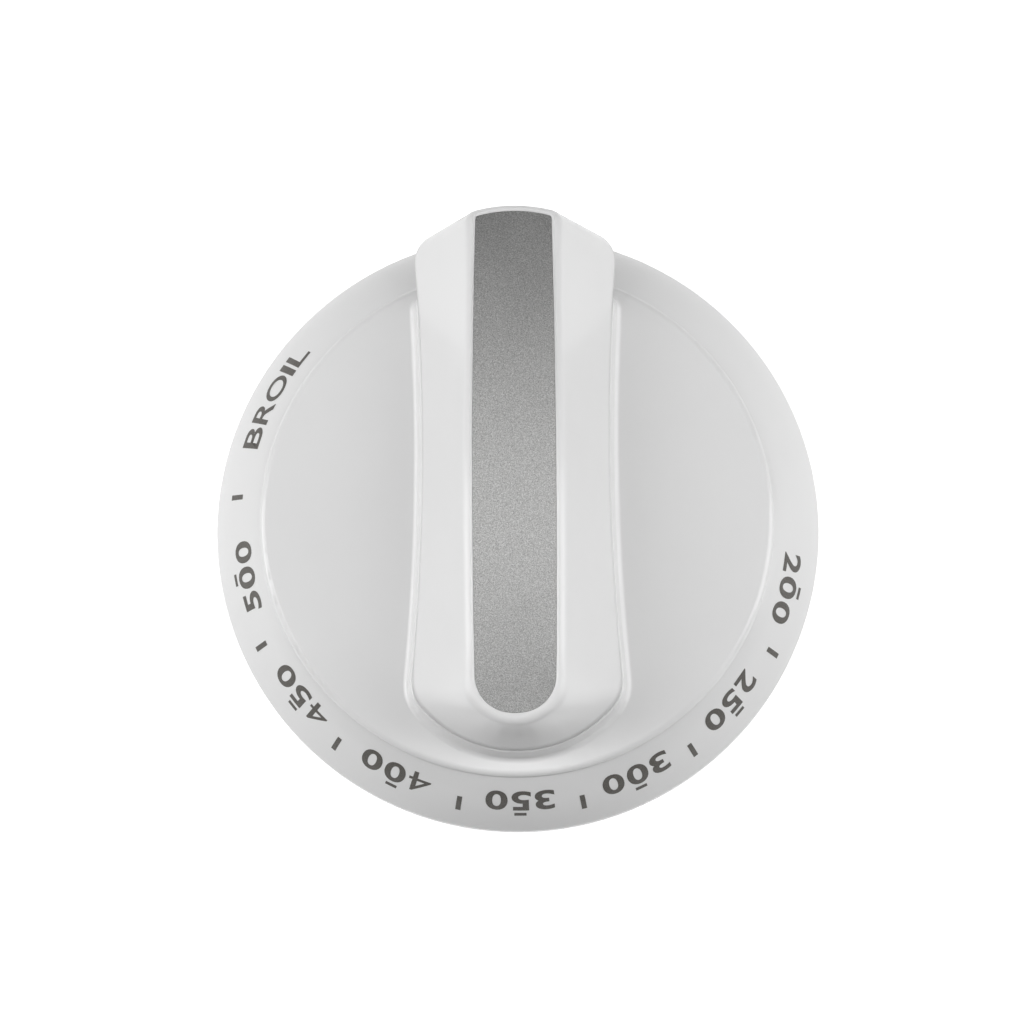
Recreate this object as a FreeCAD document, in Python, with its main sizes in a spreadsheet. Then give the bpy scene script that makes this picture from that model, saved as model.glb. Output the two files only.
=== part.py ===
import FreeCAD, Part
import math
import os
import Sketcher

# Oven control knob: a printed dial with a waisted pointer grip, a silver inlay and a hub spring.
# Frame: millimetres, origin where the shaft axis meets the back rim plane, +Z towards the user,
# and the grip's pointer end along +Y.

SIZES = {
    # Dial skirt and face
    "skirt_diameter": 66.7,
    "rim_height": 2.0,
    "ring_bulge_share": 0.11,
    "face_diameter": 56.2,
    "face_height": 10.3,
    "face_step": 0.9,
    "face_round": 0.7,
    "dial_wall": 2.0,
    "rim_wall": 2.0,
    "rim_round": 0.4,
    "back_round": 0.3,
    "web_inset": 1.6,
    # Plinth round the grip's foot, and the collar inside it that locates the grip
    "plinth_height": 3.0,
    "plinth_ledge": 0.15,
    "plinth_spread": 0.45,
    "plinth_nose_reach": 26.2,
    "plinth_nose_radius": 26.2,
    "plinth_nose_corner": 0.8,
    "plinth_fillet": 0.6,
    "plinth_round": 0.1,
    "collar_height": 1.5,
    "collar_wall": 1.2,
    "collar_gap": 0.35,
    "collar_end_inset": 1.2,
    # Grip at its foot
    "grip_waist": 20.3,
    "waist_offset": 7.3,
    "flank_radius": 260,
    "nose_reach": 32.4,
    "nose_radius": 30.0,
    "nose_corner": 3.3,
    "heel_reach": 25.6,
    "heel_radius": 13.6,
    "heel_corner": 4.2,
    "foot_chamfer": 0.25,
    # Grip at its crest
    "crest_height": 27.5,
    "crest_width": 10.2,
    "crest_offset": -2.5,
    "crest_flank_radius": 205,
    "crest_nose_reach": 32.3,
    "crest_nose_radius": 34.0,
    "crest_nose_corner": 1.4,
    "crest_heel_reach": 23.6,
    "crest_heel_radius": 6.5,
    "crest_heel_corner": 3.3,
    "crest_round": 0.9,
    "arch_radius": 140,
    "arch_offset": 3.0,
    "loft_spare": 0.5,
    # Grip wall
    "grip_wall": 2.0,
    "crest_wall": 2.0,
    "hollow_corner": 0.6,
    "hollow_spare": 0.5,
    # Silver inlay and its recess
    "inlay_width": 8.8,
    "inlay_offset": 0,
    "inlay_flank_radius": 1400.0,
    "inlay_thickness": 0.8,
    "inlay_nose_reach": 31.55,
    "inlay_nose_radius": 14,
    "inlay_nose_corner": 0.3,
    "inlay_heel_reach": 22.8,
    "inlay_heel_radius": 6.0,
    "inlay_heel_corner": 3.9,
    "inlay_gap": 0.03,
    # Hub, socket for the D shaft, and spring
    "hub_diameter": 11.0,
    "hub_setback": 1.0,
    "hub_roof": 2.0,
    "socket_diameter": 6.45,
    "socket_flat": 4.86,
    "socket_depth": 12.5,
    "slot_width": 1.2,
    "slot_depth": 5.5,
    "spring_thickness": 0.5,
    "spring_width": 2.4,
    "spring_setback": 0.6,
    "spring_angle": 300.0,
    "spring_gap": 0.02,
    # Ribs under the face
    "rib_count": 4,
    "rib_thickness": 1.5,
    "rib_height": 2.5,
    "rib_overlap": 0.6,
}

doc = FreeCAD.newDocument("oven_knob")
sheet = doc.addObject("Spreadsheet::Sheet", "sizes")
for row, (alias, number) in enumerate(SIZES.items(), start=1):
    sheet.set(f"A{row}", alias)
    sheet.set(f"B{row}", str(number))
    sheet.setAlias(f"B{row}", alias)
doc.recompute()


def cells(text):
    """An expression over the sizes' names, with each name pointing at its cell in the sheet."""
    return " ".join(f"sizes.{word}" if word in SIZES else word for word in text.split())


def size(text):
    """The number that an expression over the sizes' names gives."""
    return float(sheet.evalExpression(cells(text)))


def origin_plane(body, role):
    """One of the body's own origin planes."""
    return next(item for item in body.Origin.OriginFeatures if item.Role == role)


def new_body(name):
    return doc.addObject("PartDesign::Body", name)


def new_sketch(body, name, role="XY_Plane", lift=None):
    """A sketch on an origin plane, lifted along the plane's normal by an expression."""
    sketch = body.newObject("Sketcher::SketchObject", name)
    sketch.AttachmentSupport = [(origin_plane(body, role), "")]
    sketch.MapMode = "FlatFace"
    if lift:
        sketch.setExpression("AttachmentOffset.Base.z", cells(lift))
    return sketch


def drive(sketch, kind, *items, by):
    """A dimension bound to an expression."""
    index = sketch.addConstraint(Sketcher.Constraint(kind, *items, size(by)))
    sketch.setExpression(f"Constraints[{index}]", cells(by))


def meet(first, first_radius, second, second_radius, pick):
    """The crossing of two circles that pick prefers."""
    gap = second - first
    along = (first_radius**2 - second_radius**2 + gap.Length**2) / (2 * gap.Length)
    aside = math.sqrt(first_radius**2 - along**2)
    direction = FreeCAD.Vector(gap).normalize()
    foot = first + direction * along
    turned = FreeCAD.Vector(-direction.y, direction.x, 0) * aside
    return max((foot + turned, foot - turned), key=pick)


def arc_between(centre, radius, start, end):
    """The counter-clockwise arc about centre from start to end."""
    circle = Part.Circle(centre, FreeCAD.Vector(0, 0, 1), radius)
    begin = math.atan2(start.y - centre.y, start.x - centre.x)
    finish = math.atan2(end.y - centre.y, end.x - centre.x)
    if finish < begin:
        finish += 2 * math.pi
    return Part.ArcOfCircle(circle, begin, finish)


def mirrored(point):
    return FreeCAD.Vector(-point.x, point.y, 0)


def outline(body, name, lift, form):
    """A closed plan outline of eight tangent arcs, mirrored about the pointer line.

    form gives expressions: half (half the width at the waist), offset (the waist's place along Y),
    flank (its radius), nose and heel (how far the ends reach), their radii and their corners.
    waisted is True for a hollow flank and False for a bulging one.
    """
    sketch = new_sketch(body, name, lift=lift)
    number = {key: size(text) for key, text in form.items() if key != "waisted"}
    waisted = form["waisted"]
    side = 1 if waisted else -1
    nose_centre = FreeCAD.Vector(0, number["nose"] - number["nose_radius"], 0)
    heel_centre = FreeCAD.Vector(0, number["heel_radius"] - number["heel"], 0)
    flank_centre = FreeCAD.Vector(number["half"] + side * number["flank"], number["offset"], 0)
    nose_corner = meet(
        nose_centre,
        number["nose_radius"] - number["nose_corner"],
        flank_centre,
        number["flank"] + side * number["nose_corner"],
        lambda point: point.y,
    )
    heel_corner = meet(
        heel_centre,
        number["heel_radius"] - number["heel_corner"],
        flank_centre,
        number["flank"] + side * number["heel_corner"],
        lambda point: -point.y,
    )

    def touch(centre, radius, towards):
        return centre + FreeCAD.Vector(towards - centre).normalize() * radius

    nose_end = touch(nose_centre, number["nose_radius"], nose_corner)
    flank_top = touch(flank_centre, number["flank"], nose_corner)
    flank_low = touch(flank_centre, number["flank"], heel_corner)
    heel_end = touch(heel_centre, number["heel_radius"], heel_corner)
    right_flank = (flank_top, flank_low) if waisted else (flank_low, flank_top)
    left_flank = (mirrored(right_flank[1]), mirrored(right_flank[0]))
    arcs = [
        arc_between(nose_centre, number["nose_radius"], nose_end, mirrored(nose_end)),
        arc_between(mirrored(nose_corner), number["nose_corner"], mirrored(nose_end), mirrored(flank_top)),
        arc_between(mirrored(flank_centre), number["flank"], *left_flank),
        arc_between(mirrored(heel_corner), number["heel_corner"], mirrored(flank_low), mirrored(heel_end)),
        arc_between(heel_centre, number["heel_radius"], mirrored(heel_end), heel_end),
        arc_between(heel_corner, number["heel_corner"], heel_end, flank_low),
        arc_between(flank_centre, number["flank"], *right_flank),
        arc_between(nose_corner, number["nose_corner"], flank_top, nose_end),
    ]
    nose, nose_left, flank_left, heel_left, *rest = sketch.addGeometry(arcs)
    heel, heel_right, flank_right, nose_right = rest
    start, end, centre = 1, 2, 3
    flank_first, flank_last = (end, start) if waisted else (start, end)
    joints = [
        (nose, end, nose_left, start),
        (nose_left, end, flank_left, flank_first),
        (flank_left, flank_last, heel_left, start),
        (heel_left, end, heel, start),
        (heel, end, heel_right, start),
        (heel_right, end, flank_right, flank_first),
        (flank_right, flank_last, nose_right, start),
        (nose_right, end, nose, start),
    ]
    for joint in joints:
        sketch.addConstraint(Sketcher.Constraint("Tangent", *joint))
    y_axis = -2
    origin = (-1, 1)
    sketch.addConstraint(Sketcher.Constraint("PointOnObject", nose, centre, y_axis))
    sketch.addConstraint(Sketcher.Constraint("PointOnObject", heel, centre, y_axis))
    sketch.addConstraint(Sketcher.Constraint("Symmetric", flank_left, centre, flank_right, centre, y_axis))
    for first, second in ((nose_left, nose_right), (heel_left, heel_right), (flank_left, flank_right)):
        sketch.addConstraint(Sketcher.Constraint("Equal", first, second))
    drive(sketch, "Radius", nose, by=form["nose_radius"])
    drive(sketch, "Radius", nose_right, by=form["nose_corner"])
    drive(sketch, "Radius", flank_right, by=form["flank"])
    drive(sketch, "Radius", heel_right, by=form["heel_corner"])
    drive(sketch, "Radius", heel, by=form["heel_radius"])
    drive(sketch, "DistanceY", *origin, nose, centre, by=f"{form['nose']} - ( {form['nose_radius']} )")
    drive(sketch, "DistanceY", heel, centre, *origin, by=f"{form['heel']} - ( {form['heel_radius']} )")
    sign = "+" if waisted else "-"
    place(sketch, flank_right, centre, f"{form['half']} {sign} ( {form['flank']} )", form["offset"])
    return sketch


def inset(form, step, **changes):
    """The outline that runs a step inside another one."""
    flank_sign = "+" if form["waisted"] else "-"
    inner = {
        "half": f"{form['half']} - {step}",
        "offset": form["offset"],
        "flank": f"{form['flank']} {flank_sign} {step}",
        "waisted": form["waisted"],
        "nose": f"{form['nose']} - {step}",
        "nose_radius": f"{form['nose_radius']} - {step}",
        "nose_corner": f"{form['nose_corner']} - {step}",
        "heel": f"{form['heel']} - {step}",
        "heel_radius": f"{form['heel_radius']} - {step}",
        "heel_corner": f"{form['heel_corner']} - {step}",
    }
    inner.update(changes)
    return inner


def between(low, high, share):
    """The outline at a share of the way up a straight-sided loft from a waisted foot to a bulging top."""
    low_bend = f"( 1 - {share} ) / {low['flank']}"
    high_bend = f"{share} / {high['flank']}"
    bend = f"( {high_bend} - {low_bend} )"
    level = {
        key: f"( {low[key]} + ( {high[key]} - {low[key]} ) * {share} )"
        for key in low
        if key not in ("offset", "flank", "waisted")
    }
    level["offset"] = f"( ( {high['offset']} * {high_bend} - {low['offset']} * {low_bend} ) / {bend} )"
    level["flank"] = f"( 1 / {bend} )"
    level["waisted"] = False
    return level


GRIP_FOOT = {
    "half": "grip_waist / 2",
    "offset": "waist_offset",
    "flank": "flank_radius",
    "waisted": True,
    "nose": "nose_reach",
    "nose_radius": "nose_radius",
    "nose_corner": "nose_corner",
    "heel": "heel_reach",
    "heel_radius": "heel_radius",
    "heel_corner": "heel_corner",
}
GRIP_CREST = {
    "half": "crest_width / 2",
    "offset": "crest_offset",
    "flank": "crest_flank_radius",
    "waisted": False,
    "nose": "crest_nose_reach",
    "nose_radius": "crest_nose_radius",
    "nose_corner": "crest_nose_corner",
    "heel": "crest_heel_reach",
    "heel_radius": "crest_heel_radius",
    "heel_corner": "crest_heel_corner",
}
INLAY = {
    "half": "inlay_width / 2",
    "offset": "inlay_offset",
    "flank": "inlay_flank_radius",
    "waisted": False,
    "nose": "inlay_nose_reach",
    "nose_radius": "inlay_nose_radius",
    "nose_corner": "inlay_nose_corner",
    "heel": "inlay_heel_reach",
    "heel_radius": "inlay_heel_radius",
    "heel_corner": "inlay_heel_corner",
}
PLINTH_NOSE = {
    "nose": "plinth_nose_reach",
    "nose_radius": "plinth_nose_radius",
    "nose_corner": "plinth_nose_corner",
}
SEAT = "( face_height + plinth_height )"
LOFT_TOP = "( crest_height + loft_spare )"
HOLLOW_TOP = "( crest_height - inlay_thickness - crest_wall + hollow_spare )"
HOLLOW_SHARE = f"( ( {HOLLOW_TOP} - {SEAT} ) / ( {LOFT_TOP} - {SEAT} ) )"
HOLLOW_FOOT = inset(GRIP_FOOT, "grip_wall", nose_corner="hollow_corner")
HOLLOW_CREST = inset(
    between(GRIP_FOOT, GRIP_CREST, HOLLOW_SHARE),
    "grip_wall",
    nose_corner="hollow_corner",
)
COLLAR_TAPER = f"( collar_height * ( grip_waist - crest_width ) / 2 / ( {LOFT_TOP} - {SEAT} ) )"


def loft(body, name, *levels):
    """A straight-sided loft through plan outlines, each given as a name, a lift and a form."""
    feature = body.newObject("PartDesign::AdditiveLoft", name)
    first, *others = [outline(body, *level) for level in levels]
    feature.Profile = first
    feature.Sections = others
    feature.Ruled = True
    return feature


def pad(body, name, sketch, length, **settings):
    feature = body.newObject("PartDesign::Pad", name)
    feature.Profile = sketch
    feature.setExpression("Length", cells(length))
    for key, setting in settings.items():
        setattr(feature, key, setting)
    return feature


def pocket(body, name, sketch, length, upward=False):
    """A cut into the solid, which has to take some of it away."""
    before = body.Shape.Volume
    feature = body.newObject("PartDesign::Pocket", name)
    feature.Profile = sketch
    feature.setExpression("Length", cells(length))
    feature.Reversed = upward
    doc.recompute()
    if not feature.Shape.Volume < before:
        raise RuntimeError(f"{name} cuts nothing")
    return feature


def circle_sketch(body, name, lift, diameter):
    sketch = new_sketch(body, name, lift=lift)
    ring = sketch.addGeometry(Part.Circle(FreeCAD.Vector(), FreeCAD.Vector(0, 0, 1), size(diameter) / 2))
    sketch.addConstraint(Sketcher.Constraint("Coincident", ring, 3, -1, 1))
    drive(sketch, "Diameter", ring, by=diameter)
    return sketch


def place(sketch, item, spot, across, up):
    """Bind one point of a sketch to two expressions, measured from the origin."""
    for kind, text, axis in (("DistanceX", across, -2), ("DistanceY", up, -1)):
        number = size(text)
        if abs(number) < 1e-9:
            sketch.addConstraint(Sketcher.Constraint("PointOnObject", item, spot, axis))
        elif number > 0:
            drive(sketch, kind, -1, 1, item, spot, by=text)
        else:
            drive(sketch, kind, item, spot, -1, 1, by=f"- ( {text} )")


def profile(sketch, corners, rounds):
    """A closed section of straight lines, with the sides named in rounds as outward arcs."""
    points = [FreeCAD.Vector(size(across), size(up), 0) for across, up in corners]
    sides = []
    for index, (here, there) in enumerate(zip(points, points[1:] + points[:1])):
        if index in rounds:
            radius = size(rounds[index])
            centre = meet(here, radius, there, radius, lambda point: -point.x)
            sides.append(sketch.addGeometry(arc_between(centre, radius, here, there)))
        else:
            sides.append(sketch.addGeometry(Part.LineSegment(here, there)))
    for side, following in zip(sides, sides[1:] + sides[:1]):
        sketch.addConstraint(Sketcher.Constraint("Coincident", side, 2, following, 1))
    for index, (side, corner) in enumerate(zip(sides, corners)):
        place(sketch, side, 1, *corner)
        if index in rounds:
            drive(sketch, "Radius", side, by=rounds[index])


def revolve(body, kind, name, sketch, angle=None):
    """A section turned about the shaft axis, by a full turn or by an expression."""
    feature = body.newObject(f"PartDesign::{kind}", name)
    feature.Profile = sketch
    feature.ReferenceAxis = (sketch, ["V_Axis"])
    feature.Angle = 360
    if angle:
        feature.setExpression("Angle", cells(angle))
    return feature


def round_edges(body, name, radius, chosen):
    """A fillet on the edges of the body's last feature that chosen picks."""
    doc.recompute()
    base = body.Tip
    names = [f"Edge{index}" for index, edge in enumerate(base.Shape.Edges, start=1) if chosen(edge)]
    feature = body.newObject("PartDesign::Fillet", name)
    feature.Base = (base, names)
    feature.setExpression("Radius", cells(radius))
    return feature


def level_at(edge, height):
    """True where an edge lies flat at a height."""
    box = edge.BoundBox
    return abs(box.ZMin - height) < 1e-4 and abs(box.ZMax - height) < 1e-4


def ring_of(edge, radius):
    return isinstance(edge.Curve, Part.Circle) and abs(edge.Curve.Radius - radius) < 1e-4


# The ring bulges over a straight slope by a share of its run, so it never overhangs the rim.
RING_RUN = "( ( skirt_diameter - face_diameter ) / 2 )"
RING_RISE = "( face_height - face_step - rim_height )"
RING_BULGE = f"( ring_bulge_share * {RING_RUN} )"
RING_RADIUS = f"( ( {RING_RUN} ^ 2 + {RING_RISE} ^ 2 ) / ( 8 * {RING_BULGE} ) + {RING_BULGE} / 2 )"
WEB = "( face_height - dial_wall )"
RIM_BORE = "( skirt_diameter / 2 - rim_wall )"
WEB_BORE = "( face_diameter / 2 - web_inset )"


def build_dial():
    """Skirt, face, plinth, collar, ribs and hub: one moulding."""
    body = new_body("dial")
    section = new_sketch(body, "skirt_section", role="XZ_Plane")
    skirt_corners = [
        ("skirt_diameter / 2", "0"),
        ("skirt_diameter / 2", "rim_height"),
        ("face_diameter / 2", "face_height - face_step"),
        ("face_diameter / 2", "face_height"),
        ("0", "face_height"),
        ("0", WEB),
        (WEB_BORE, WEB),
        (RIM_BORE, "0"),
    ]
    profile(section, skirt_corners, {1: RING_RADIUS})
    revolve(body, "Revolution", "skirt", section)
    face_radius = size("face_diameter / 2")
    face_level = size("face_height")
    rim_level = size("rim_height")
    round_edges(
        body,
        "face_edge",
        "face_round",
        lambda edge: level_at(edge, face_level) and ring_of(edge, face_radius),
    )
    round_edges(body, "rim_edge", "rim_round", lambda edge: level_at(edge, rim_level))
    round_edges(body, "back_edges", "back_round", lambda edge: level_at(edge, 0))

    plinth_top = inset(GRIP_FOOT, "( 0 - plinth_ledge )", **PLINTH_NOSE)
    plinth_foot = inset(plinth_top, "( 0 - plinth_spread )")
    loft(
        body,
        "plinth",
        ("plinth_foot", "face_height", plinth_foot),
        ("plinth_top", SEAT, plinth_top),
    )
    round_edges(
        body,
        "plinth_root",
        "plinth_fillet",
        lambda edge: level_at(edge, face_level) and edge.BoundBox.XLength < face_radius,
    )
    seat_level = size(SEAT)
    round_edges(body, "plinth_edge", "plinth_round", lambda edge: level_at(edge, seat_level))
    collar = inset(
        HOLLOW_FOOT,
        f"( collar_gap + {COLLAR_TAPER} )",
        nose="plinth_nose_reach - collar_end_inset",
        nose_radius="plinth_nose_radius - collar_end_inset",
        nose_corner="hollow_corner",
    )
    pad(body, "collar", outline(body, "collar_outline", SEAT, collar), "collar_height")
    doc.recompute()
    well = inset(collar, "collar_wall", nose_corner="hollow_corner")
    well_sketch = outline(body, "well_outline", f"{SEAT} + collar_height", well)
    pocket(body, "well", well_sketch, "plinth_height + collar_height")

    hub_sketch = circle_sketch(body, "hub_circle", "hub_setback", "hub_diameter")
    pad(body, "hub", hub_sketch, "socket_depth + hub_roof")
    add_ribs(body)
    add_socket(body)
    seat = new_sketch(body, "spring_seat_section", role="XZ_Plane")
    inner = "( hub_diameter / 2 - spring_thickness )"
    low = "( hub_setback + spring_setback )"
    high = f"( {low} + spring_width + 2 * spring_gap )"
    outer = "( hub_diameter / 2 + spring_thickness )"
    profile(seat, [(inner, low), (outer, low), (outer, high), (inner, high)], {})
    before = body.Shape.Volume
    groove = revolve(body, "Groove", "spring_seat", seat)
    doc.recompute()
    if not groove.Shape.Volume < before:
        raise RuntimeError("spring_seat cuts nothing")
    return body


def add_ribs(body):
    """Low ribs under the face, from the hub out to the skirt."""
    section = new_sketch(body, "rib_section", role="XZ_Plane")
    section.AttachmentOffset = FreeCAD.Placement(
        FreeCAD.Vector(), FreeCAD.Rotation(FreeCAD.Vector(0, 1, 0), 180 / size("rib_count"))
    )
    low = f"( {WEB} - rib_height )"
    high = f"( {WEB} + rib_overlap )"
    start = "( hub_diameter / 2 - rib_overlap )"
    low_end = f"( {RIM_BORE} + ( {WEB_BORE} - {RIM_BORE} ) * {low} / {WEB} + rib_overlap )"
    high_end = f"( {WEB_BORE} + rib_overlap )"
    profile(section, [(start, low), (low_end, low), (high_end, WEB), (high_end, high), (start, high)], {})
    rib = pad(body, "rib", section, "rib_thickness", Midplane=True)
    doc.recompute()
    ribs = body.newObject("PartDesign::PolarPattern", "ribs")
    ribs.Originals = [rib]
    ribs.Axis = (section, ["V_Axis"])
    ribs.Angle = 360
    ribs.setExpression("Occurrences", cells("rib_count"))
    body.Tip = ribs
    doc.recompute()


def add_socket(body):
    """The blind D socket, and the slot that lets the hub's end grip the shaft."""
    sketch = new_sketch(body, "socket_outline", lift="hub_setback")
    radius = size("socket_diameter / 2")
    flat = size("socket_flat - socket_diameter / 2")
    right = FreeCAD.Vector(math.sqrt(radius**2 - flat**2), flat, 0)
    round_wall = sketch.addGeometry(arc_between(FreeCAD.Vector(), radius, mirrored(right), right))
    flat_wall = sketch.addGeometry(Part.LineSegment(right, mirrored(right)))
    sketch.addConstraint(Sketcher.Constraint("Coincident", round_wall, 3, -1, 1))
    sketch.addConstraint(Sketcher.Constraint("Coincident", round_wall, 2, flat_wall, 1))
    sketch.addConstraint(Sketcher.Constraint("Coincident", flat_wall, 2, round_wall, 1))
    sketch.addConstraint(Sketcher.Constraint("Horizontal", flat_wall))
    drive(sketch, "Radius", round_wall, by="socket_diameter / 2")
    drive(sketch, "DistanceY", -1, 1, flat_wall, 1, by="socket_flat - socket_diameter / 2")
    pocket(body, "socket", sketch, "socket_depth", upward=True)
    slot = new_sketch(body, "slot_outline", lift="hub_setback")
    reach = "( hub_diameter / 2 + slot_width )"
    half = "( slot_width / 2 )"
    corners = [(f"- {reach}", f"- {half}"), (reach, f"- {half}"), (reach, half), (f"- {reach}", half)]
    profile(slot, corners, {})
    pocket(body, "slot", slot, "slot_depth", upward=True)


def arch_cylinder(name, drop):
    """A cylinder across the knob whose top is the crest's arch, lowered by an expression."""
    cylinder = doc.addObject("Part::Cylinder", name)
    cylinder.setExpression("Radius", cells(f"arch_radius - ( {drop} )"))
    cylinder.setExpression("Height", cells("skirt_diameter"))
    cylinder.Placement.Rotation = FreeCAD.Rotation(FreeCAD.Vector(0, 1, 0), 90)
    cylinder.setExpression("Placement.Base.x", cells("- skirt_diameter / 2"))
    cylinder.setExpression("Placement.Base.y", cells("- arch_offset"))
    cylinder.setExpression("Placement.Base.z", cells("crest_height - arch_radius"))
    return cylinder


def combine(kind, name, base, tool):
    """A boolean of two objects: Cut, Common or Fuse."""
    result = doc.addObject(f"Part::{kind}", name)
    result.Base = base
    result.Tool = tool
    return result


def build_grip(crest, recess_floor):
    """The hollow grip: drafted waisted flanks under an arched crest, with the inlay's recess."""
    blank = new_body("grip_blank")
    loft(
        blank,
        "grip_loft",
        ("grip_foot", SEAT, inset(GRIP_FOOT, "foot_chamfer")),
        ("grip_flanks", f"{SEAT} + foot_chamfer", GRIP_FOOT),
        ("grip_crest", LOFT_TOP, GRIP_CREST),
    )
    arched = combine("Common", "grip_arched", blank, crest)
    doc.recompute()
    rounded = doc.addObject("Part::Fillet", "grip_rounded")
    rounded.Base = arched
    radius = size("crest_round")
    rounded.Edges = [(index, radius, radius) for index in crest_edges(arched.Shape)]

    hollow = new_body("grip_hollow")
    loft(
        hollow,
        "hollow_loft",
        ("hollow_foot", SEAT, HOLLOW_FOOT),
        ("hollow_crest", HOLLOW_TOP, HOLLOW_CREST),
    )
    roof = arch_cylinder("hollow_roof", "inlay_thickness + crest_wall")
    shell = combine("Cut", "grip_shell", rounded, combine("Common", "hollow_arched", hollow, roof))

    opening = new_body("recess_blank")
    recess = inset(INLAY, "( 0 - inlay_gap )")
    pad(opening, "recess_pad", outline(opening, "recess_outline", SEAT, recess), f"{LOFT_TOP} - {SEAT}")
    return combine("Cut", "grip", shell, combine("Cut", "recess", opening, recess_floor))


def crest_edges(shape):
    """The numbers of the edges round the arched crest face."""
    arch = size("arch_radius")
    top = next(
        face
        for face in shape.Faces
        if isinstance(face.Surface, Part.Cylinder) and abs(face.Surface.Radius - arch) < 1e-6
    )
    return [
        index
        for index, edge in enumerate(shape.Edges, start=1)
        if any(edge.isSame(border) for border in top.Edges)
    ]


def build_inlay(crest, recess_floor):
    """The silver strip, bent to the crest's arch and bedded on the recess floor."""
    blank = new_body("inlay_blank")
    pad(blank, "inlay_pad", outline(blank, "inlay_outline", SEAT, INLAY), f"{LOFT_TOP} - {SEAT}")
    arched = combine("Common", "inlay_arched", blank, crest)
    return combine("Cut", "grip_inlay", arched, recess_floor)


def build_spring():
    """An open band of spring strip in the seat round the hub's end."""
    body = new_body("hub_spring")
    section = new_sketch(body, "spring_section", role="YZ_Plane")
    inner = "( hub_diameter / 2 - spring_thickness + spring_gap )"
    low = "( hub_setback + spring_setback + spring_gap )"
    outer = f"( {inner} + spring_thickness )"
    high = f"( {low} + spring_width )"
    profile(section, [(inner, low), (outer, low), (outer, high), (inner, high)], {})
    band = revolve(body, "Revolution", "spring_band", section, angle="spring_angle")
    band.Midplane = True
    return body


crest_arch = arch_cylinder("crest_arch", "0")
recess_arch = arch_cylinder("recess_arch", "inlay_thickness")
parts = {
    "dial": build_dial(),
    "grip": build_grip(crest_arch, recess_arch),
    "grip_inlay": build_inlay(crest_arch, recess_arch),
    "hub_spring": build_spring(),
}
doc.recompute()

for item in doc.Objects:
    if "Invalid" in item.State or "Error" in item.State:
        raise RuntimeError(f"{item.Name} failed: {item.State}")
for node, item in parts.items():
    item.Label = node
    if item.Shape.isNull() or not item.Shape.isValid() or not item.Shape.Solids:
        raise RuntimeError(f"{node} has no valid solid")

os.makedirs("parts", exist_ok=True)
for node, item in parts.items():
    item.Shape.exportStep(f"parts/{node}.step")
    print(node, "solids", len(item.Shape.Solids), "volume", round(item.Shape.Volume, 2))
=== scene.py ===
"""Oven control knob: finishes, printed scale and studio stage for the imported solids.

Laid out as an add-on: property groups hold the sizes and colours, one operator dresses each
piece or group of like pieces, one sets the stage, and a sidebar panel lists them.
Every length is in metres, in the solids' own frame: the shaft axis is Z, the back rim lies in
the plane z = 0, and the grip's pointer end is along +Y.
"""

import math

import bmesh
import bpy
from bpy.props import FloatProperty, FloatVectorProperty, IntProperty, PointerProperty
from mathutils import Matrix, Vector
from mathutils.bvhtree import BVHTree


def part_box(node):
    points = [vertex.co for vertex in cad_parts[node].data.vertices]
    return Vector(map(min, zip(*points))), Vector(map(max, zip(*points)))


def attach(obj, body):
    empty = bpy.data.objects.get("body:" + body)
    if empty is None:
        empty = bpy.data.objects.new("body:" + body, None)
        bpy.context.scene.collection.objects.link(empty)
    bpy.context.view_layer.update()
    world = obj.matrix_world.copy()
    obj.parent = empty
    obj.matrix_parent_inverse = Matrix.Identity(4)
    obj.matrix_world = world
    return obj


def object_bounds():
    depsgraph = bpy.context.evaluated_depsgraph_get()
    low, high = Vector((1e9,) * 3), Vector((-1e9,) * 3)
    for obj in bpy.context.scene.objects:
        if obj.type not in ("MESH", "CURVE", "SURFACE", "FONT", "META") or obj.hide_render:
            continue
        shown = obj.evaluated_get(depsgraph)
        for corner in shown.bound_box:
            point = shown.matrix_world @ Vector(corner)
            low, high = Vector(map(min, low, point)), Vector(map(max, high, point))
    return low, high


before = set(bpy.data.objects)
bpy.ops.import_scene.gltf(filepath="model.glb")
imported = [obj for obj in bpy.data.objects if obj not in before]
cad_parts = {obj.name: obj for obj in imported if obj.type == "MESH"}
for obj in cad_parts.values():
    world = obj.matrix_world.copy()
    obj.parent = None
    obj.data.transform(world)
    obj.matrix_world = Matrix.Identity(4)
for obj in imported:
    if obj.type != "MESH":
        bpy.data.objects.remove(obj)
CAD_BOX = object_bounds()

bl_info = {
    "name": "Oven control knob",
    "version": (1, 0, 0),
    "blender": (4, 5, 0),
    "location": "3D View > Sidebar > Knob",
    "description": "Dresses the oven control knob and sets its studio stage",
    "category": "Object",
}

MM = 0.001


def rgba(colour):
    return (*colour, 1.0)


# Settings


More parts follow.
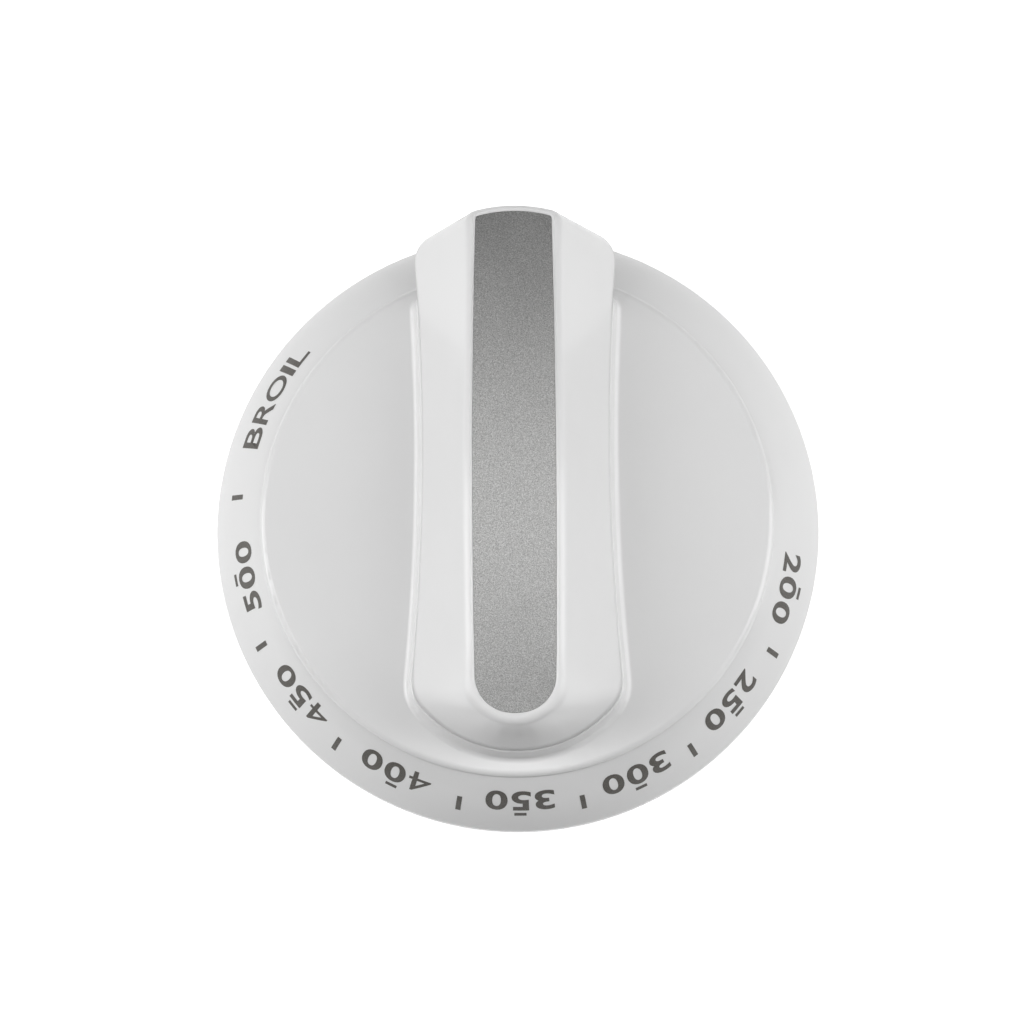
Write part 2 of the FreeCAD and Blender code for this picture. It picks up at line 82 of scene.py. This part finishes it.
class KnobFinishes(bpy.types.PropertyGroup):
    """Colours and gloss of the knob's materials."""

    plastic_colour: FloatVectorProperty(
        name="Plastic colour",
        description="White of the moulded dial and grip",
        default=(0.80, 0.80, 0.80),
        subtype="COLOR",
        min=0.0,
        max=1.0,
    )
    plastic_roughness: FloatProperty(
        name="Plastic roughness",
        description="Roughness of the moulded white surface",
        default=0.32,
        subtype="FACTOR",
        min=0.0,
        max=1.0,
    )
    plastic_polish: FloatProperty(
        name="Plastic polish",
        description="Strength of the sharp gloss that lies over the softer one",
        default=0.35,
        subtype="FACTOR",
        min=0.0,
        max=1.0,
    )
    edge_softness: FloatProperty(
        name="Edge softness",
        description="How far from a moulded edge or crease its light still runs round",
        default=0.8 * MM,
        unit="LENGTH",
        precision=5,
    )
    heel_softness: FloatProperty(
        name="Heel softness",
        description="The same distance round the blunt end of the grip",
        default=2.4 * MM,
        unit="LENGTH",
        precision=5,
    )
    inlay_colour: FloatVectorProperty(
        name="Inlay colour",
        description="Silver of the strip in the grip's crest",
        default=(0.51, 0.51, 0.505),
        subtype="COLOR",
        min=0.0,
        max=1.0,
    )
    inlay_grain: FloatProperty(
        name="Inlay grain",
        description="Size of one bright fleck in the silver strip",
        default=0.11 * MM,
        unit="LENGTH",
        precision=6,
    )
    steel_colour: FloatVectorProperty(
        name="Spring steel colour",
        description="Colour of the rolled spring band on the hub",
        default=(0.50, 0.50, 0.51),
        subtype="COLOR",
        min=0.0,
        max=1.0,
    )
    ink_colour: FloatVectorProperty(
        name="Ink colour",
        description="Dark warm grey of the printed scale",
        default=(0.085, 0.08, 0.072),
        subtype="COLOR",
        min=0.0,
        max=1.0,
    )


class KnobScale(bpy.types.PropertyGroup):
    """Sizes of the scale printed on the dial's sloping ring."""

    first_number: IntProperty(
        name="First number",
        description="Number at the clockwise start of the scale",
        default=200,
    )
    last_number: IntProperty(name="Last number", description="Number before the function word", default=500)
    number_step: IntProperty(name="Number step", description="Difference between numbers", default=50)
    number_pitch: FloatProperty(
        name="Number pitch",
        description="Angle round the dial from one number to the next",
        default=math.radians(25.9),
        subtype="ANGLE",
    )
    middle_angle: FloatProperty(
        name="Middle angle",
        description="Place of the middle number round the dial, from +X towards +Y",
        default=math.radians(-91.0),
        subtype="ANGLE",
    )
    word_angle: FloatProperty(
        name="Word angle",
        description="Place of the function word round the dial, from +X towards +Y",
        default=math.radians(151.6),
        subtype="ANGLE",
    )
    character_width: FloatProperty(
        name="Character width",
        description="Width of a nought; the other characters are a share of it",
        default=2.42 * MM,
        unit="LENGTH",
        precision=5,
    )
    digit_gap: FloatProperty(
        name="Digit gap",
        description="Space between the digits of a number",
        default=0.42 * MM,
        unit="LENGTH",
        precision=5,
    )
    letter_gap: FloatProperty(
        name="Letter gap",
        description="Space between the letters of the function word",
        default=0.38 * MM,
        unit="LENGTH",
        precision=5,
    )
    inner_radius: FloatProperty(
        name="Inner radius",
        description="Distance of the digits' feet from the shaft axis",
        default=29.36 * MM,
        unit="LENGTH",
        precision=5,
    )
    height: FloatProperty(
        name="Height",
        description="How far a character spans outwards from its feet, seen along the shaft axis",
        default=1.9 * MM,
        unit="LENGTH",
        precision=5,
    )
    offset: FloatVectorProperty(
        name="Offset",
        description="How far the whole print stands off the shaft axis, along X and Y",
        size=2,
        default=(0.15 * MM, -0.13 * MM),
        unit="LENGTH",
        precision=6,
    )
    word_lift: FloatProperty(
        name="Word lift",
        description="How much farther out than the numbers the function word stands",
        default=0.5 * MM,
        unit="LENGTH",
        precision=5,
    )
    bolder: FloatProperty(
        name="Bolder",
        description="How far each side of a stroke is pushed out, as a share of the character height",
        default=0.025,
        subtype="FACTOR",
    )
    tick_width: FloatProperty(
        name="Tick width",
        description="Width of the mark between two numbers",
        default=0.55 * MM,
        unit="LENGTH",
        precision=5,
    )
    bar_length: FloatProperty(
        name="Bar length",
        description="Length of the bar over the middle digit of a number",
        default=1.27 * MM,
        unit="LENGTH",
        precision=5,
    )
    ink_lift: FloatProperty(
        name="Ink lift",
        description="Thickness of the ink film over the plastic",
        default=0.02 * MM,
        unit="LENGTH",
        precision=6,
    )


class KnobStage(bpy.types.PropertyGroup):
    """Camera, floor and lamps."""

    camera_distance: FloatProperty(
        name="Camera distance",
        description="From the rim's centre to the camera",
        default=0.5,
        unit="LENGTH",
    )
    camera_tilt: FloatProperty(
        name="Camera tilt",
        description="How far the camera leans from the shaft axis towards the grip's heel",
        default=math.radians(8.5),
        subtype="ANGLE",
    )
    camera_side: FloatProperty(
        name="Camera side",
        description="How far the camera leans from the shaft axis to the right",
        default=math.radians(0.8),
        subtype="ANGLE",
    )
    camera_roll: FloatProperty(
        name="Camera roll",
        description="Turn of the camera about its line of sight",
        default=math.radians(0.3),
        subtype="ANGLE",
    )
    aim: FloatVectorProperty(
        name="Aim",
        description="Right and up from the rim's centre to the middle of the picture",
        size=2,
        default=(-0.644 * MM, 2.2 * MM),
        unit="LENGTH",
        precision=6,
    )
    lens: FloatProperty(
        name="Lens",
        description="Focal length on a 36 mm sensor",
        default=158.2,
        unit="CAMERA",
    )
    floor_colour: FloatVectorProperty(
        name="Floor colour",
        description="White of the table and backdrop",
        default=(0.4, 0.4, 0.4),
        subtype="COLOR",
        min=0.0,
        max=1.0,
    )
    floor_glow: FloatProperty(
        name="Floor glow",
        description="Share of white that the floor shows of itself, so that only a faint shadow stays",
        default=0.9,
    )
    lamp_distance: FloatProperty(
        name="Lamp distance",
        description="From the knob to each softbox",
        default=0.75,
        unit="LENGTH",
    )
    low_lamp_power: FloatProperty(
        name="Low lamp power",
        description="Power of each low softbox at the knob's sides",
        default=2.45,
        unit="POWER",
    )
    high_lamp_power: FloatProperty(
        name="High lamp power",
        description="Power of each high softbox at the knob's sides",
        default=2.25,
        unit="POWER",
    )
    over_lamp_power: FloatProperty(
        name="Overhead lamp power",
        description="Power of the softbox beside the camera",
        default=0.32,
        unit="POWER",
    )
    back_lamp_power: FloatProperty(
        name="Back lamp power",
        description="Power of the softbox behind the grip's pointer end",
        default=0.14,
        unit="POWER",
    )
    right_share: FloatProperty(
        name="Right share",
        description="Strength of the right softboxes against the left ones",
        default=0.94,
        subtype="FACTOR",
    )
    world_strength: FloatProperty(
        name="World strength",
        description="Strength of the even light from all round",
        default=0.03,
    )


# Shader tools


def new_material(name):
    """A node material, its node tree and its principled shader."""
    material = bpy.data.materials.new(name)
    material.use_nodes = True
    tree = material.node_tree
    return material, tree, tree.nodes["Principled BSDF"]


def add_node(tree, kind, **settings):
    node = tree.nodes.new(kind)
    for key, setting in settings.items():
        setattr(node, key, setting)
    return node


def grain_group():
    """Fine grain and broad clouds over a surface, both as values from 0 to 1.

    Size is the length of one grain and Cloud Size the length of one cloud.
    """
    group = bpy.data.node_groups.get("surface_grain")
    if group:
        return group
    group = bpy.data.node_groups.new("surface_grain", "ShaderNodeTree")
    for name, default in (("Size", 0.2 * MM), ("Cloud Size", 8.0 * MM)):
        socket = group.interface.new_socket(name=name, in_out="INPUT", socket_type="NodeSocketFloat")
        socket.default_value = default
    for name in ("Grain", "Cloud"):
        group.interface.new_socket(name=name, in_out="OUTPUT", socket_type="NodeSocketFloat")
    link = group.links.new
    given = add_node(group, "NodeGroupInput")
    result = add_node(group, "NodeGroupOutput")
    place = add_node(group, "ShaderNodeTexCoord")
    # Askew of the flat surfaces, on which the noise's layers would show as bands
    askew = add_node(group, "ShaderNodeMapping")
    askew.inputs["Rotation"].default_value = (0.7, 0.5, 0.3)
    link(place.outputs["Object"], askew.inputs["Vector"])
    for name, size, detail in (("Grain", "Size", 2.0), ("Cloud", "Cloud Size", 3.0)):
        scale = add_node(group, "ShaderNodeMath", operation="DIVIDE")
        scale.inputs[0].default_value = 1.0
        link(given.outputs[size], scale.inputs[1])
        noise = add_node(group, "ShaderNodeTexNoise", noise_dimensions="3D")
        noise.inputs["Detail"].default_value = detail
        noise.inputs["Roughness"].default_value = 0.55
        link(askew.outputs["Vector"], noise.inputs["Vector"])
        link(scale.outputs[0], noise.inputs["Scale"])
        link(noise.outputs["Fac"], result.inputs[name])
    return group


def place_grain(tree, size, cloud_size):
    """The grain group in a material, with its own sizes."""
    node = add_node(tree, "ShaderNodeGroup")
    node.node_tree = grain_group()
    node.inputs["Size"].default_value = size
    node.inputs["Cloud Size"].default_value = cloud_size
    return node


def spread(tree, value, low, high, start=0.3, stop=0.7):
    """A value that runs from start to stop, mapped on to the range from low to high."""
    node = add_node(tree, "ShaderNodeMapRange")
    node.inputs["From Min"].default_value = start
    node.inputs["From Max"].default_value = stop
    node.inputs["To Min"].default_value = low
    node.inputs["To Max"].default_value = high
    tree.links.new(value, node.inputs["Value"])
    return node.outputs["Result"]


def blend_colours(tree, value, first, second, start=0.3, stop=0.7):
    """A ramp from one colour to another along a value."""
    node = add_node(tree, "ShaderNodeValToRGB")
    node.color_ramp.elements[0].position = start
    node.color_ramp.elements[0].color = rgba(first)
    node.color_ramp.elements[1].position = stop
    node.color_ramp.elements[1].color = rgba(second)
    tree.links.new(value, node.inputs["Fac"])
    return node.outputs["Color"]


def raise_surface(tree, height, distance, strength=1.0):
    """A bump from a height, whose full range stands for a distance."""
    node = add_node(tree, "ShaderNodeBump")
    node.inputs["Strength"].default_value = strength
    node.inputs["Distance"].default_value = distance
    tree.links.new(height, node.inputs["Height"])
    return node.outputs["Normal"]


def shade(colour, factor):
    return tuple(min(1.0, part * factor) for part in colour)


def finish_node(name, material):
    """Give a solid of the frame its material."""
    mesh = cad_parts[name].data
    mesh.materials.clear()
    mesh.materials.append(material)


# Half the height over which the softness sets in above the grip's seat
SEAT_BLUR = 0.1 * MM
# Where the heel's softness starts and ends its fade, in front of the strip's heel end
HEEL_FADE = (2.0 * MM, 7.0 * MM)


def softness(tree, finishes):
    """How far light runs round the grip's edges: more at the blunt heel, and not at all on the dial."""
    place = add_node(tree, "ShaderNodeTexCoord")
    part = add_node(tree, "ShaderNodeSeparateXYZ")
    tree.links.new(place.outputs["Object"], part.inputs[0])
    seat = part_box("grip")[0][2]
    on_grip = spread(tree, part.outputs["Z"], 0.0, 1.0, seat - SEAT_BLUR, seat + SEAT_BLUR)
    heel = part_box("grip_inlay")[0][1]
    radius = spread(
        tree,
        part.outputs["Y"],
        finishes.heel_softness,
        finishes.edge_softness,
        heel + HEEL_FADE[0],
        heel + HEEL_FADE[1],
    )
    both = add_node(tree, "ShaderNodeMath", operation="MULTIPLY")
    tree.links.new(on_grip, both.inputs[0])
    tree.links.new(radius, both.inputs[1])
    return both.outputs[0]


# How far the plastic's roughness swings either way from place to place
GLOSS_SWING = 0.03


def white_plastic(finishes):
    """Moulded white with soft edges, a slight orange peel and faint clouds of tone.

    Its uneven gloss lies under a thin sharp polish.
    """
    material, tree, shader = new_material("white_plastic")
    grain = place_grain(tree, size=0.9 * MM, cloud_size=14.0 * MM)
    colour = finishes.plastic_colour
    tone = blend_colours(tree, grain.outputs["Cloud"], shade(colour, 0.985), shade(colour, 1.01))
    tree.links.new(tone, shader.inputs["Base Color"])
    rough = finishes.plastic_roughness
    gloss = spread(tree, grain.outputs["Cloud"], rough - GLOSS_SWING, rough + GLOSS_SWING)
    tree.links.new(gloss, shader.inputs["Roughness"])
    soft = add_node(tree, "ShaderNodeBevel", samples=8)
    tree.links.new(softness(tree, finishes), soft.inputs["Radius"])
    normal = raise_surface(tree, grain.outputs["Grain"], distance=0.002 * MM, strength=0.15)
    tree.links.new(soft.outputs["Normal"], normal.node.inputs["Normal"])
    tree.links.new(normal, shader.inputs["Normal"])
    shader.inputs["IOR"].default_value = 1.45
    shader.inputs["Specular IOR Level"].default_value = 0.4
    shader.inputs["Coat Weight"].default_value = finishes.plastic_polish
    shader.inputs["Coat Roughness"].default_value = 0.1
    tree.links.new(soft.outputs["Normal"], shader.inputs["Coat Normal"])
    return material


def silver_inlay(finishes):
    """Satin silver full of fine bright and dark flecks."""
    material, tree, shader = new_material("silver_inlay")
    grain = place_grain(tree, size=finishes.inlay_grain, cloud_size=6.0 * MM)
    colour = finishes.inlay_colour
    fleck = blend_colours(tree, grain.outputs["Grain"], shade(colour, 0.66), shade(colour, 1.42), 0.32, 0.7)
    tree.links.new(fleck, shader.inputs["Base Color"])
    gloss = spread(tree, grain.outputs["Cloud"], 0.42, 0.48)
    tree.links.new(gloss, shader.inputs["Roughness"])
    normal = raise_surface(tree, grain.outputs["Grain"], distance=0.02 * MM, strength=0.5)
    tree.links.new(normal, shader.inputs["Normal"])
    shader.inputs["Metallic"].default_value = 1.0
    return material


def spring_steel(finishes):
    """Rolled strip: a fine grain and a slightly uneven shine."""
    material, tree, shader = new_material("spring_steel")
    grain = place_grain(tree, size=0.08 * MM, cloud_size=2.5 * MM)
    colour = finishes.steel_colour
    tone = blend_colours(tree, grain.outputs["Cloud"], shade(colour, 0.85), shade(colour, 1.1))
    tree.links.new(tone, shader.inputs["Base Color"])
    gloss = spread(tree, grain.outputs["Grain"], 0.22, 0.36)
    tree.links.new(gloss, shader.inputs["Roughness"])
    normal = raise_surface(tree, grain.outputs["Grain"], distance=0.004 * MM, strength=0.5)
    tree.links.new(normal, shader.inputs["Normal"])
    shader.inputs["Metallic"].default_value = 1.0
    return material


def scale_ink(finishes):
    """Pad-printed ink: a matt film, a little thin in places."""
    material, tree, shader = new_material("dial_print")
    grain = place_grain(tree, size=0.12 * MM, cloud_size=1.6 * MM)
    colour = finishes.ink_colour
    tone = blend_colours(tree, grain.outputs["Grain"], shade(colour, 0.8), shade(colour, 1.5))
    tree.links.new(tone, shader.inputs["Base Color"])
    gloss = spread(tree, grain.outputs["Cloud"], 0.45, 0.6)
    tree.links.new(gloss, shader.inputs["Roughness"])
    return material


# Printed scale


# Widths of the characters as shares of a nought's width
GLYPH_WIDTHS = {"0": 1.0, "2": 0.9, "3": 0.9, "4": 1.05, "5": 0.88}
GLYPH_WIDTHS.update({"B": 1.05, "R": 1.12, "O": 1.36, "I": 0.33, "L": 0.94})
# Share of the bolder push that each figure takes, and the smaller one of the letters
PUSH = {"0": 1.0, "2": 1.0, "3": 1.0, "4": 0.0, "5": 1.0}
LETTER_PUSH = 0.6
# How much nearer the next character stands after these, in the same shares
CLOSER = {"R": 0.14, "O": 0.03}


def character_mesh(text, width, gap, bolder):
    """Flat triangles of a line of text, centred on x = 0 and 1 high, as a bmesh.

    Widths and gaps along x are true lengths; y runs from the characters' feet to their heads.
    """
    result = bmesh.new()
    widths = [GLYPH_WIDTHS[character] * width for character in text]
    gaps = [gap - CLOSER.get(character, 0.0) * width for character in text]
    edge = -(sum(widths) + sum(gaps[:-1])) / 2
    for character, share, space in zip(text, widths, gaps):
        curve = bpy.data.curves.new("character", "FONT")
        curve.body = character
        curve.fill_mode = "FRONT"
        curve.resolution_u = 6
        # A push fills the four's counter, and a full one nearly fills those of the letters
        curve.offset = bolder * PUSH.get(character, LETTER_PUSH)
        carrier = bpy.data.objects.new("character", curve)
        mesh = bpy.data.meshes.new_from_object(carrier)
        corners = [vertex.co for vertex in mesh.vertices]
        left = min(corner.x for corner in corners)
        right = max(corner.x for corner in corners)
        low = min(corner.y for corner in corners)
        high = max(corner.y for corner in corners)
        fit = Matrix.Diagonal((share / (right - left), 1 / (high - low), 1, 1))
        foot = Matrix.Translation((-left, -low, 0))
        mesh.transform(Matrix.Translation((edge, 0, 0)) @ fit @ foot)
        edge += share + space
        result.from_mesh(mesh)
        bpy.data.objects.remove(carrier)
        bpy.data.curves.remove(curve)
        bpy.data.meshes.remove(mesh)
    return result


def bar_mesh(left, right, low, high):
    """A flat bar, as a bmesh."""
    result = bmesh.new()
    corners = ((left, low), (right, low), (right, high), (left, high))
    result.faces.new([result.verts.new((x, y, 0)) for x, y in corners])
    return result


# Share of a number's pitch from the last number to its mark, which stands clear of the word
LAST_TICK = 0.665

# Where the bar over a number and the mark between two numbers start and stop, in character heights
BAR_SPAN = (1.12, 1.26)
MARK_SPAN = (0.58, 1.28)

# Longest edges of the print, outwards in character heights and round the dial in metres, so that its
# triangles follow the curve of the ring
LONGEST_OUT = 0.3
LONGEST_ROUND = 0.8 * MM

# Degrees by which each number, and the mark after it, stands off the even pitch in print
PRINT_SHIFTS = (
    (-0.55, -0.75),
    (-1.2, -0.55),
    (-0.1, 0.85),
    (1.05, 1.55),
    (0.4, -0.15),
    (1.0, 0.6),
    (-0.85, -0.35),
)


class RingPrint:
    """Collects flat marks and lays them on the dial's ring."""

    def __init__(self, scale):
        self.scale = scale
        self.marks = bmesh.new()
        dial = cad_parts["dial"]
        self.ring = BVHTree.FromObject(dial, bpy.context.evaluated_depsgraph_get())
        self.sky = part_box("dial")[1][2] + 0.01

    def land(self, radius, angle):
        """The point of the print over a place on the ring."""
        across, along = self.scale.offset
        start = Vector((across + radius * math.cos(angle), along + radius * math.sin(angle), self.sky))
        spot, normal, _, _ = self.ring.ray_cast(start, Vector((0, 0, -1)))
        if spot is None:
            raise RuntimeError("the print leaves the dial")
        return spot + normal * self.scale.ink_lift

    def lay(self, flat, angle, lift=0.0):
        """Wrap a flat mark: x runs clockwise round the dial, y outwards, with 1 for the height."""
        scale = self.scale
        bmesh.ops.triangulate(flat, faces=flat.faces)
        for _ in range(3):
            spans = [(edge, edge.verts[0].co - edge.verts[1].co) for edge in flat.edges]
            long_edges = [
                edge for edge, span in spans if abs(span.y) > LONGEST_OUT or abs(span.x) > LONGEST_ROUND
            ]
            if long_edges:
                bmesh.ops.subdivide_edges(flat, edges=long_edges, cuts=1)
                bmesh.ops.triangulate(flat, faces=flat.faces)
        middle = scale.inner_radius + scale.height / 2 + lift
        for vertex in flat.verts:
            radius = scale.inner_radius + scale.height * vertex.co.y + lift
            vertex.co = self.land(radius, angle - vertex.co.x / middle)
        mesh = bpy.data.meshes.new("mark")
        flat.to_mesh(mesh)
        flat.free()
        self.marks.from_mesh(mesh)
        bpy.data.meshes.remove(mesh)

    def finish(self, name, material):
        """The whole print as one piece of the knob."""
        for face in self.marks.faces:
            face.smooth = True
        bmesh.ops.recalc_face_normals(self.marks, faces=self.marks.faces)
        for face in self.marks.faces:
            if face.normal.z < 0:
                face.normal_flip()
        mesh = bpy.data.meshes.new(name)
        self.marks.to_mesh(mesh)
        self.marks.free()
        mesh.materials.append(material)
        piece = bpy.data.objects.new(name, mesh)
        bpy.context.scene.collection.objects.link(piece)
        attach(piece, "root")
        return piece


# Operators


class KNOB_OT_plastic(bpy.types.Operator):
    """Finish the moulded dial and grip in semi-gloss white"""

    bl_idname = "knob.plastic"
    bl_label = "Dial and grip"

    def execute(self, context):
        material = white_plastic(context.scene.knob_finishes)
        finish_node("dial", material)
        finish_node("grip", material)
        return {"FINISHED"}


class KNOB_OT_inlay(bpy.types.Operator):
    """Finish the strip in the crest in flecked silver"""

    bl_idname = "knob.inlay"
    bl_label = "Silver inlay"

    def execute(self, context):
        finish_node("grip_inlay", silver_inlay(context.scene.knob_finishes))
        return {"FINISHED"}


class KNOB_OT_spring(bpy.types.Operator):
    """Finish the spring band round the hub in rolled steel"""

    bl_idname = "knob.spring"
    bl_label = "Hub spring"

    def execute(self, context):
        finish_node("hub_spring", spring_steel(context.scene.knob_finishes))
        return {"FINISHED"}


class KNOB_OT_scale(bpy.types.Operator):
    """Print the numbers, the marks between them and the function word on the dial's ring"""

    bl_idname = "knob.scale"
    bl_label = "Printed scale"

    def execute(self, context):
        scale = context.scene.knob_scale
        printing = RingPrint(scale)
        numbers = range(scale.first_number, scale.last_number + 1, scale.number_step)
        middle = (len(numbers) - 1) / 2
        tick = scale.tick_width / 2
        bar = scale.bar_length / 2
        for index, number in enumerate(numbers):
            angle = scale.middle_angle - (index - middle) * scale.number_pitch
            digits = character_mesh(str(number), scale.character_width, scale.digit_gap, scale.bolder)
            shift, tick_shift = (math.radians(part) for part in PRINT_SHIFTS[index % len(PRINT_SHIFTS)])
            printing.lay(digits, angle + shift)
            printing.lay(bar_mesh(-bar, bar, *BAR_SPAN), angle + shift)
            last = number == numbers[-1]
            step = LAST_TICK if last else 0.5
            mark = bar_mesh(-tick, tick, *MARK_SPAN)
            printing.lay(mark, angle + tick_shift - scale.number_pitch * step)
        word = character_mesh("BROIL", scale.character_width, scale.letter_gap, scale.bolder)
        printing.lay(word, scale.word_angle, scale.word_lift)
        printing.finish("dial_scale", scale_ink(context.scene.knob_finishes))
        return {"FINISHED"}


class KNOB_OT_stage(bpy.types.Operator):
    """Set the white floor, the softboxes and the camera"""

    bl_idname = "knob.stage"
    bl_label = "Stage"

    def execute(self, context):
        stage = context.scene.knob_stage
        context.scene.view_settings.view_transform = "Standard"
        set_floor(stage)
        set_lamps(stage)
        set_camera(context.scene, stage)
        return {"FINISHED"}


# Half the floor's side, and the gap between it and the back rim
FLOOR_HALF = 3.0
FLOOR_GAP = 0.02 * MM


def set_floor(stage):
    """A white floor under the back rim, which shows the knob's shadow faintly."""
    sketch = bmesh.new()
    bmesh.ops.create_grid(sketch, x_segments=1, y_segments=1, size=FLOOR_HALF)
    mesh = bpy.data.meshes.new("floor")
    sketch.to_mesh(mesh)
    sketch.free()
    floor = bpy.data.objects.new("floor", mesh)
    floor.location.z = CAD_BOX[0][2] - FLOOR_GAP
    bpy.context.scene.collection.objects.link(floor)
    material, tree, shader = new_material("white_floor")
    shader.inputs["Base Color"].default_value = rgba(stage.floor_colour)
    shader.inputs["Roughness"].default_value = 0.9
    shader.inputs["Specular IOR Level"].default_value = 0.0
    rays = add_node(tree, "ShaderNodeLightPath")
    seen = add_node(tree, "ShaderNodeMath", operation="MAXIMUM")
    tree.links.new(rays.outputs["Is Camera Ray"], seen.inputs[0])
    tree.links.new(rays.outputs["Is Glossy Ray"], seen.inputs[1])
    clear = add_node(tree, "ShaderNodeMath", operation="MAXIMUM")
    tree.links.new(seen.outputs[0], clear.inputs[0])
    tree.links.new(rays.outputs["Is Transmission Ray"], clear.inputs[1])
    glow = add_node(tree, "ShaderNodeMath", operation="MULTIPLY")
    glow.inputs[1].default_value = stage.floor_glow
    tree.links.new(clear.outputs[0], glow.inputs[0])
    shader.inputs["Emission Color"].default_value = (1.0, 1.0, 1.0, 1.0)
    tree.links.new(glow.outputs[0], shader.inputs["Emission Strength"])
    mesh.materials.append(material)


def add_softbox(stage, name, azimuth, elevation, width, height, power):
    """A rectangular lamp round the knob, in degrees from +X and above the floor, facing the knob."""
    turn = math.radians(azimuth)
    rise = math.radians(elevation)
    away = Vector((math.cos(rise) * math.cos(turn), math.cos(rise) * math.sin(turn), math.sin(rise)))
    data = bpy.data.lights.new(name, "AREA")
    data.shape = "RECTANGLE"
    data.size = width
    data.size_y = height
    data.energy = power
    lamp = bpy.data.objects.new(name, data)
    lamp.location = Vector((0, 0, CAD_BOX[1][2] / 2)) + away * stage.lamp_distance
    lamp.rotation_euler = away.to_track_quat("Z", "Y").to_euler()
    bpy.context.scene.collection.objects.link(lamp)


# Softboxes: azimuth and elevation in degrees, then width and height in metres; the low and high
# ones stand on both sides, so their azimuth is given below
LOW_BOX = (20, 0.35, 0.35)
HIGH_BOX = (52, 0.35, 0.45)
OVER_BOX = (90, 80, 0.35, 0.2)
BACK_BOX = (90, 60, 0.35, 0.35)


def set_lamps(stage):
    """Low and high softboxes to the left and right, and weaker ones above and behind."""
    for side, azimuth, share in (("left", 180, 1.0), ("right", 0, stage.right_share)):
        add_softbox(stage, f"softbox_{side}_low", azimuth, *LOW_BOX, stage.low_lamp_power * share)
        add_softbox(stage, f"softbox_{side}_high", azimuth, *HIGH_BOX, stage.high_lamp_power * share)
    add_softbox(stage, "softbox_over", *OVER_BOX, stage.over_lamp_power)
    add_softbox(stage, "softbox_back", *BACK_BOX, stage.back_lamp_power)
    world = bpy.data.worlds.new("studio")
    world.use_nodes = True
    background = world.node_tree.nodes["Background"]
    background.inputs["Color"].default_value = (1.0, 1.0, 1.0, 1.0)
    background.inputs["Strength"].default_value = stage.world_strength
    bpy.context.scene.world = world


def set_camera(scene, stage):
    """A long lens over the knob, leaning a little towards the grip's heel."""
    back = Vector((math.sin(stage.camera_side), -math.sin(stage.camera_tilt), 0.0))
    back.z = math.sqrt(1 - back.length_squared)
    up = (Vector((0, 1, 0)) - back * back.y).normalized()
    right = up.cross(back)
    turn = Matrix.Rotation(-stage.camera_roll, 3, back)
    up = turn @ up
    right = turn @ right
    data = bpy.data.cameras.new("camera")
    data.lens = stage.lens
    data.sensor_width = 36.0
    data.clip_start = 0.01
    camera = bpy.data.objects.new("camera", data)
    aim = Vector((0, 0, CAD_BOX[0][2] + MM)) + right * stage.aim[0] + up * stage.aim[1]
    turned = Matrix((right, up, back)).transposed().to_4x4()
    camera.matrix_world = Matrix.Translation(aim + back * stage.camera_distance) @ turned
    scene.collection.objects.link(camera)
    scene.camera = camera


class KNOB_PT_panel(bpy.types.Panel):
    """The knob's pieces and stage"""

    bl_idname = "KNOB_PT_panel"
    bl_label = "Oven control knob"
    bl_space_type = "VIEW_3D"
    bl_region_type = "UI"
    bl_category = "Knob"

    def draw(self, context):
        layout = self.layout
        for operator in OPERATORS:
            layout.operator(operator.bl_idname)
        for settings in (context.scene.knob_finishes, context.scene.knob_scale, context.scene.knob_stage):
            column = layout.column(align=True)
            for name in settings.__annotations__:
                column.prop(settings, name)


SETTINGS = {"knob_finishes": KnobFinishes, "knob_scale": KnobScale, "knob_stage": KnobStage}
OPERATORS = (KNOB_OT_plastic, KNOB_OT_inlay, KNOB_OT_spring, KNOB_OT_scale, KNOB_OT_stage)


def register():
    for kind in (*SETTINGS.values(), *OPERATORS, KNOB_PT_panel):
        bpy.utils.register_class(kind)
    for name, kind in SETTINGS.items():
        setattr(bpy.types.Scene, name, PointerProperty(type=kind))


def unregister():
    for name in SETTINGS:
        delattr(bpy.types.Scene, name)
    for kind in reversed((*SETTINGS.values(), *OPERATORS, KNOB_PT_panel)):
        bpy.utils.unregister_class(kind)


def main():
    register()
    bpy.ops.knob.plastic()
    bpy.ops.knob.inlay()
    bpy.ops.knob.spring()
    bpy.ops.knob.scale()
    bpy.ops.knob.stage()


if __name__ == "__main__":
    main()
